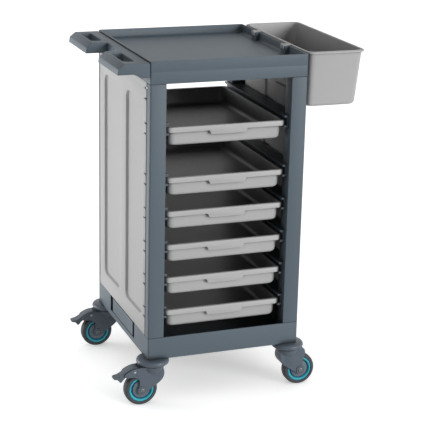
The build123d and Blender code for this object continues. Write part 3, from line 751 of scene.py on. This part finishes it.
def pull_tray(name, height):
    """Shallow tray with a turned-down lip, deeper in the middle of the front to take the fingers."""
    top = height + TRAY_RISE

    def ring(inset, z):
        return (-TRAY_HALF + inset, TRAY_HALF - inset, TRAY_Y0 + inset, TRAY_Y1 - inset, top + z)

    rings = [ring(*step) for step in TRAY_OUTSIDE + TRAY_LIP + TRAY_INSIDE]
    piece = drawn(name, rings, TRAY_CORNER, 8)
    lip_low = top - LIP_DROP
    grip_top, grip_low, grip_bow, steps = top - 4, lip_low - 10, 1.5, 12
    x0, x1 = GRIP_MIDDLE - GRIP_HALF - 5, GRIP_MIDDLE + GRIP_HALF + 5
    turns = [math.pi * step / steps for step in range(steps + 1)]
    bow = [
        (GRIP_MIDDLE - GRIP_HALF * math.cos(turn), grip_low - grip_bow * math.sin(turn))
        for turn in turns
    ]
    outline = [(x0, grip_top), (x0, lip_low), *bow, (x1, lip_low), (x1, grip_top)]
    combine(piece, profile("grip", outline, "Y", TRAY_Y0, TRAY_Y0 + 3), "UNION")
    soften(piece, 0.7, 2, 50)
    return piece


first_tray = pull_tray("pull_tray_1", TRAY_HEIGHTS[0])
for number, height in enumerate(TRAY_HEIGHTS, 1):
    piece = first_tray
    if number > 1:
        piece = copied(first_tray, f"pull_tray_{number}", (0, 0, height - TRAY_HEIGHTS[0]))
    dress(piece, f"tray_{number}", "light_grey_plastic", LIGHT_GREY, f"tray_{number}")

# Push handle

HANDLE_TOP, HANDLE_ROOT, HANDLE_LOW = 1026.0, 985.0, 996.0
LOOP_START = 65.0
HOLE_X0, HOLE_X1, HOLE_START, HOLE_END, HOLE_CORNER = -303.5, -271.5, 100.0, 225.0, 10.0
SCREW_HEIGHT, SCREW_HOLE_R = 1018.0, 3.0


def push_handle():
    """Strip along the top's left side with a loop for the fingers at each end."""
    root, outer, strip = -HALF_W, -331.5, -265.5
    horn = [
        (root, HANDLE_ROOT), (root - 20, HANDLE_ROOT), (root - 48, HANDLE_LOW), (outer, HANDLE_LOW),
        (outer + 3, HANDLE_TOP - 13), (outer + 21, HANDLE_TOP), (root, HANDLE_TOP),
    ]
    piece = block("push_handle", (strip, -HALF_D, HANDLE_ROOT), (root, HALF_D, HANDLE_TOP))
    for end in (-1, 1):
        near, far = sorted((end * HALF_D, end * LOOP_START))
        combine(piece, profile("loop", horn, "Y", near, far), "UNION")
    for end in (-1, 1):
        y0, y1 = sorted((end * HOLE_START, end * HOLE_END))
        hole = [(HOLE_X0, HOLE_X1, y0, y1, z) for z in (HANDLE_ROOT - 5, HANDLE_TOP + 5)]
        combine(piece, drawn("finger_hole", hole, HOLE_CORNER), "DIFFERENCE")
    soften(piece, 1.5, 3)
    seam_wide, seam_deep = 2.4, 3.0
    low = (root - seam_wide, -HALF_D - 5, HANDLE_TOP - seam_deep)
    high = (root + 5, HALF_D + 5, HANDLE_TOP + 5)
    combine(piece, block("seam", low, high), "DIFFERENCE")
    screw_hole = bar("screw_hole", at(strip, 0, SCREW_HEIGHT), (1, 0, 0), SCREW_HOLE_R, 12)
    combine(piece, screw_hole, "DIFFERENCE")
    smooth(piece)
    return piece


dress(push_handle(), "frame", "slate_plastic", SLATE, "handle")

# Side bin

BIN_X0, BIN_X1, BIN_Y0, BIN_Y1 = 238.5, 423.5, -254.0, 246.0
BIN_BOTTOM, BIN_TOP = 870.0, 1033.0
BIN_TAPER, BIN_END_TAPER, BIN_CORNER = 14.0, 5.0, 18.0
BIN_OUTSIDE = [
    (16, BIN_BOTTOM, 1.0), (10.5, BIN_BOTTOM + 1.5, 1.0), (7.5, BIN_BOTTOM + 5, 1.0),
    (6, BIN_BOTTOM + 10, 0.96), (6, BIN_TOP - 6.5, 0.0),
]
BIN_RIM = [
    (1, BIN_TOP - 6.5, 0.0), (0, BIN_TOP - 5.5, 0.0), (0, BIN_TOP - 2, 0.0),
    (1.8, BIN_TOP, 0.0), (7, BIN_TOP, 0.0), (9, BIN_TOP - 2, 0.0),
]
BIN_INSIDE = [
    (9, BIN_BOTTOM + 13, 0.96), (10.5, BIN_BOTTOM + 7, 0.98),
    (14, BIN_BOTTOM + 4, 1.0), (20, BIN_BOTTOM + 3, 1.0),
]


def waste_bin():
    """Deep tapered bin with a rolled rim and two hooks over the trolley's rim."""

    def ring(inset, z, low):
        taper, ends = BIN_TAPER * low, BIN_END_TAPER * low
        return (BIN_X0 + inset, BIN_X1 - inset - taper, BIN_Y0 + inset + ends, BIN_Y1 - inset - ends, z)

    rings = [ring(*step) for step in BIN_OUTSIDE + BIN_RIM + BIN_INSIDE]
    piece = drawn("waste_bin", rings, BIN_CORNER, 8)
    end, tongue, tongue_low, root, half_wide = 214.2, 217.2, 1021, 245, 12
    hook = [
        (end, tongue_low), (tongue, tongue_low), (tongue, RIM_TOP),
        (root, RIM_TOP), (root, BIN_TOP), (end, BIN_TOP),
    ]
    for y in (-CLIP_HALF, CLIP_HALF):
        combine(piece, profile("hook", hook, "Y", y - half_wide, y + half_wide), "UNION")
    soften(piece, 0.7, 2, 50)
    return piece


dress(waste_bin(), "side_bin", "light_grey_plastic", BIN_GREY, "side_bin")

# Castors, modelled about the swivel's axis with the wheel trailing to the right, then put in place

UPRIGHT, ACROSS = (0, 0, 1), (0, 1, 0)
SWIVEL = at(0, 0, 0)
WHEEL_MIDDLE = at(TRAIL, 0, WHEEL_R)


def castor_disc(name):
    """Domed disc with the stem above it and the kingpin below."""
    section = [
        (0, 97), (6, 97), (6, 126), (41, 126), (45, 127), (47.6, 129.4), (49, 133), (48.4, 137.4),
        (46, 141), (42, 143), (10, 143), (10, 186), (8, 188), (0, 188),
    ]
    piece = turned(name, section, SWIVEL, UPRIGHT)
    smooth(piece, 50)
    return piece


def arc(x, z, radius, first, last, steps):
    """Points along an arc seen from the castor's side, angles in degrees from the trailing side."""
    angles = [math.radians(first + (last - first) * k / steps) for k in range(steps + 1)]
    return [(x + radius * math.cos(a), z + radius * math.sin(a)) for a in angles]


def castor_yoke(name, braked):
    """Fork with a bulging front and two slim legs under a round crown, hollow over the wheel."""
    half_wide, half_inside, half_ears = 22, 19, 21.8
    side = [
        (-24, 122), (-27.5, 114), (-30.2, 106), (-31, 98), (-30.2, 91), (-27.8, 84), (-24, 78),
        (-18.5, 72), (-12, 67), *arc(TRAIL, WHEEL_R, 15, -125, 50, 24), (46.4, 68), (46, 76),
        (47.8, 86), (51, 94), (53, 101), (53, 109), (50.4, 116.4), (44, 122),
    ]
    piece = profile(name, side, "Y", -half_wide, half_wide)
    soften(piece, 2.4, 4, 40)
    crown = [(0, 121.8), (32.3, 121.8), (34, 120.3), (34, 114), (32.6, 110.4), (23, 97), (0, 97)]
    combine(piece, turned("crown", crown, SWIVEL, UPRIGHT), "UNION")
    if braked:
        ears = [
            (36, 121.5), (58, 120), (68, 117.4), (76, 114), (84, 110), (88.6, 106.4), (91, 101),
            (90.2, 97.4), (87, 95), (78, 93.2), (62, 92.2), (56, 89.4), (50, 84), (40, 80),
        ]
        flaps = profile("ears", ears, "Y", -half_ears, half_ears)
        soften(flaps, 2.4, 4, 40)
        combine(piece, flaps, "UNION")
    boss = [(0, -24), (12.6, -24), (13.5, -23), (13.5, 23), (12.6, 24), (0, 24)]
    combine(piece, turned("boss", boss, WHEEL_MIDDLE, ACROSS, 48), "UNION")
    if braked:
        pedal_space = block("pedal_space", (44, -half_inside, 20), (130, half_inside, 130))
        combine(piece, pedal_space, "DIFFERENCE")
    wheel_space = bar("wheel_space", WHEEL_MIDDLE, ACROSS, WHEEL_R + 4, 2 * half_inside, 64)
    combine(piece, wheel_space, "DIFFERENCE")
    combine(piece, bar("nut_space", at(0, 0, 90), UPRIGHT, 12, 28), "DIFFERENCE")
    smooth(piece, 44)
    return piece


# Half sections of the wheel's pieces, as radius and distance along the axle
TYRE_HALF = [
    (38, 14), (38.6, 15.4), (40, 16), (43, 15.8), (45.6, 15), (47.6, 13.2), (49, 10.6), (49.8, 8),
    (WHEEL_R, 5), (WHEEL_R, 2),
]
RING_HALF = [
    (27, 8), (29, 8.2), (30.4, 10), (31.8, 13), (33.2, 14.7), (34, 15.1), (35.6, 15.1),
    (36.8, 14.5), (37.6, 13.4), (38, 13),
]
HUB_HALF = [
    (5.05, 18.5), (11, 18.5), (11.6, 17.8), (12.4, 14.6), (13.4, 14), (24.6, 13),
    (26.4, 12.4), (27, 11),
]
AXLE_HALF = [(0, 25.4), (1.8, 25.4), (2.4, 26), (4.6, 26), (6, 25.8), (7, 25), (7, 24), (5, 24)]


def wheel_solid(name, half_section, steps=72, angle=40):
    """Round piece about the axle, the same on both sides."""
    other = [(radius, -along) for radius, along in reversed(half_section)]
    piece = turned(name, half_section + other, WHEEL_MIDDLE, ACROSS, steps)
    smooth(piece, angle)
    return piece


def foot_pedal(name):
    """Arched brake lever, round at the tip, with grip ridges, a lug below and a shoe over the tyre."""
    tip, half_wide, ridge_r, ridge_half = 123, 15, 1.3, 11
    top = [
        (47.2, 119), (48.6, 121.6), (56, 121), (66, 119), (74, 115.6), (81, 112), (88.5, 107.3),
        (96, 102), (101.5, 99), (107, 96.6), (115, 95), (121, 94.4),
    ]
    under = [
        (tip, 93.4), (tip, 91.4), (120, 90.4), (112.5, 90), (110, 87.6), (107, 83.6), (104.4, 80.8),
        (102, 80), (99.4, 80.6), (96.5, 84), (93.4, 88), (88, 93), (82, 98), (74, 102), (66, 105),
        (50, 106.8), (47.4, 109),
    ]
    piece = profile(name, top + under, "Y", -half_wide, half_wide)
    plan = [(20, tip, -half_wide, half_wide, z) for z in (70, 130)]
    combine(piece, drawn("tip_plan", plan, 9.0), "INTERSECT")
    soften(piece, 2.0, 3, 40)
    for x, z in ((101, 98.8), (106, 96.5), (111, 95.3), (116, 94.5)):
        ridge = profile("ridge", arc(x, z, ridge_r, 0, 337.5, 15), "Y", -ridge_half, ridge_half)
        combine(piece, ridge, "UNION")
    shoe = profile("shoe", [(62, 104), (80, 100), (82, 90), (76, 84), (64, 92)], "Y", -13, 13)
    combine(shoe, bar("tyre_room", WHEEL_MIDDLE, ACROSS, WHEEL_R + 5, 60, 64), "DIFFERENCE")
    combine(piece, shoe, "UNION")
    combine(piece, bar("pin_hole", at(60, 0, 110), ACROSS, 3.05, 60, 24), "DIFFERENCE")
    smooth(piece, 40)
    return piece


def at_castor(piece, name, side, end):
    """Copy of a castor's piece, trailing outwards at one corner of the base."""
    twin = copied(piece, name, (MIDDLE_X, 0, 0))
    if side < 0:
        twin.data.transform(Matrix.Rotation(math.pi, 4, "Z"))
    way = Vector((side * SWIVEL_X - MIDDLE_X, end * SWIVEL_Y, 0))
    twin.data.transform(Matrix.Translation(way * MM))
    return twin


disc = castor_disc("disc_pattern")
axle = wheel_solid("axle_pattern", AXLE_HALF, steps=40)
yokes = {True: castor_yoke("braked_yoke_pattern", True), False: castor_yoke("yoke_pattern", False)}
tyre = wheel_solid("tyre_pattern", TYRE_HALF, angle=60)
ring = wheel_solid("ring_pattern", RING_HALF)
hub = wheel_solid("hub_pattern", HUB_HALF)
pedal = foot_pedal("pedal_pattern")
GROOVE_R = 31.0


def two_tone(piece, side, end):
    """Deeper colour down in the groove inside a wheel's bright ring."""
    piece.data.materials.append(DEEP_TEAL)
    middle = at(side * (SWIVEL_X + TRAIL), end * SWIVEL_Y, WHEEL_R)
    for face in piece.data.polygons:
        away = face.center - middle
        away.y = 0
        face.material_index = 0 if away.length > GROOVE_R * MM else 1


for place, (side, end) in CORNERS.items():
    castor, wheel = f"castor_{place}", f"wheel_{place}"
    fittings = [
        (disc, "castor_disc", "frame", "castor_plastic", CASTOR_GREY, "castor_head"),
        (yokes[side < 0], "castor_yoke", castor, "castor_plastic", CASTOR_GREY, "castor_fork"),
        (axle, "wheel_axle", castor, "steel", ZINC, "axle_bolt"),
        (tyre, "wheel_tyre", wheel, "tyre", TYRE, "tyre"),
        (ring, "wheel_ring", wheel, "core_plastic", TEAL, "wheel_core"),
        (hub, "wheel_cover", wheel, "castor_plastic", CASTOR_GREY_PAINTED_LIGHTER, "wheel_hub"),
    ]
    if side < 0:
        body = f"pedal_{place}"
        fittings.append((pedal, "foot_pedal", body, "castor_plastic", CASTOR_GREY, "brake_pedal"))
    for pattern, name, body, slot, material, node in fittings:
        piece = at_castor(pattern, f"{name}_{place}", side, end)
        dress(piece, body, slot, material, f"{node}_{place}")
        if pattern is ring:
            two_tone(piece, side, end)
for pattern in (disc, axle, tyre, ring, hub, pedal, *yokes.values()):
    bpy.data.objects.remove(pattern, do_unlink=True)

# Small steel pieces keep their solids
for node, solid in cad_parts.items():
    if node in ("swivel_races", "kingpin_nuts", "handle_screws") or node.startswith("brake_pin"):
        solid.data.materials.clear()
        solid.data.materials.append(BLACKED if node == "handle_screws" else STEEL)

# Floor, light and camera


def camera_or_mirror(tree):
    """Value of 1 for what the camera sees straight, in a reflection or through something clear."""
    rays = tree.nodes.new("ShaderNodeLightPath")
    seen = add(tree, "ShaderNodeMath", operation="MAXIMUM")
    seen_through = add(tree, "ShaderNodeMath", operation="MAXIMUM")
    tree.links.new(rays.outputs["Is Camera Ray"], seen.inputs[0])
    tree.links.new(rays.outputs["Is Glossy Ray"], seen.inputs[1])
    tree.links.new(seen.outputs[0], seen_through.inputs[0])
    tree.links.new(rays.outputs["Is Transmission Ray"], seen_through.inputs[1])
    return seen_through.outputs[0]


FLOOR_SIZE, FLOOR_COLOUR = 60, (0.8, 0.805, 0.805, 1)
SHADOW_REACH, SHADOW_LEVEL = 0.5, 0.3
bpy.ops.mesh.primitive_plane_add(size=FLOOR_SIZE)
floor = bpy.context.object
floor.name = "studio_floor"
floor_finish = bpy.data.materials.new("pale_floor")
floor_finish.use_nodes = True
ground = floor_finish.node_tree
floor_shader = ground.nodes["Principled BSDF"]
floor_shader.inputs["Base Color"].default_value = FLOOR_COLOUR
floor_shader.inputs["Emission Color"].default_value = (1, 1, 1, 1)
covered = add(ground, "ShaderNodeAmbientOcclusion", samples=16, Distance=SHADOW_REACH)
white = add(ground, "ShaderNodeMapRange", clamp=True)
white.inputs["To Min"].default_value = SHADOW_LEVEL
white_seen = add(ground, "ShaderNodeMath", operation="MULTIPLY")
ground.links.new(covered.outputs["AO"], white.inputs["Value"])
ground.links.new(camera_or_mirror(ground), white_seen.inputs[0])
ground.links.new(white.outputs["Result"], white_seen.inputs[1])
ground.links.new(white_seen.outputs[0], floor_shader.inputs["Emission Strength"])
floor_shader.inputs["Roughness"].default_value = 0.9
floor_shader.inputs["Specular IOR Level"].default_value = 0.0
floor.data.materials.append(floor_finish)

# The room is bright at eye level and dim overhead
HORIZON, ZENITH = 0.4, 0.06
FADE_START, FADE_END = 0.15, 0.65
world = bpy.data.worlds.new("studio")
bpy.context.scene.world = world
world.use_nodes = True
sky = world.node_tree
surround = sky.nodes["Background"]
surround.inputs["Color"].default_value = (1, 1, 1, 1)
toward = add(sky, "ShaderNodeTexCoord")
parts = add(sky, "ShaderNodeSeparateXYZ")
room = add(sky, "ShaderNodeMapRange", clamp=True)
room.inputs["From Min"].default_value = FADE_START
room.inputs["From Max"].default_value = FADE_END
room.inputs["To Min"].default_value = HORIZON
room.inputs["To Max"].default_value = ZENITH
level = add(sky, "ShaderNodeMix", data_type="FLOAT")
level.inputs["B"].default_value = 1.0
sky.links.new(toward.outputs["Generated"], parts.inputs[0])
sky.links.new(parts.outputs["Z"], room.inputs["Value"])
sky.links.new(camera_or_mirror(sky), level.inputs["Factor"])
sky.links.new(room.outputs["Result"], level.inputs["A"])
sky.links.new(level.outputs["Result"], surround.inputs["Strength"])

# A low soft box on the left towards the back, and a soft key low on the right in front
BOX_PLACE, BOX_AIM = Vector((-2.35, 1.35, 0.55)), Vector((-0.2, 0.0, 0.55))
BOX_POWER, BOX_WIDE, BOX_HIGH = 34.0, 1.4, 1.0
KEY_TOWARD, KEY_STRENGTH, KEY_SPREAD = Vector((0.52, -0.82, 0.25)), 1.85, 30
box = bpy.data.lights.new("soft_box", "AREA")
box.energy = BOX_POWER
box.shape = "RECTANGLE"
box.size, box.size_y = BOX_WIDE, BOX_HIGH
key = bpy.data.lights.new("soft_key", "SUN")
key.energy = KEY_STRENGTH
key.angle = math.radians(KEY_SPREAD)
for lamp, place, back in ((box, BOX_PLACE, BOX_PLACE - BOX_AIM), (key, KEY_TOWARD, KEY_TOWARD)):
    lamp_object = bpy.data.objects.new(lamp.name, lamp)
    lamp_object.location = place
    lamp_object.rotation_euler = back.to_track_quat("Z", "Y").to_euler()
    lamp_object.visible_camera = False
    bpy.context.scene.collection.objects.link(lamp_object)

# The camera, with its focal length in pixels of the photograph
IMAGE_SIZE, FOCAL = 432, 1410.2
EYE = at(-1415.6, -3890.9, 1786.3)
YAW, PITCH, ROLL = (math.radians(angle) for angle in (20.824, 17.395, 1.374))
level_ahead = Vector((math.sin(YAW), math.cos(YAW), 0))
level_right = Vector((math.cos(YAW), -math.sin(YAW), 0))
ahead = level_ahead * math.cos(PITCH) - Vector((0, 0, math.sin(PITCH)))
level_up = level_right.cross(ahead)
right = level_right * math.cos(ROLL) + level_up * math.sin(ROLL)
up = level_up * math.cos(ROLL) - level_right * math.sin(ROLL)
lens = bpy.data.cameras.new("camera")
lens.sensor_width = 36
lens.lens = FOCAL / IMAGE_SIZE * lens.sensor_width
camera = bpy.data.objects.new("camera", lens)
turn = Matrix((right, up, -ahead)).transposed().to_4x4()
camera.matrix_world = Matrix.Translation(EYE) @ turn
bpy.context.scene.collection.objects.link(camera)
bpy.context.scene.camera = camera
bpy.context.scene.view_settings.view_transform = "Standard"
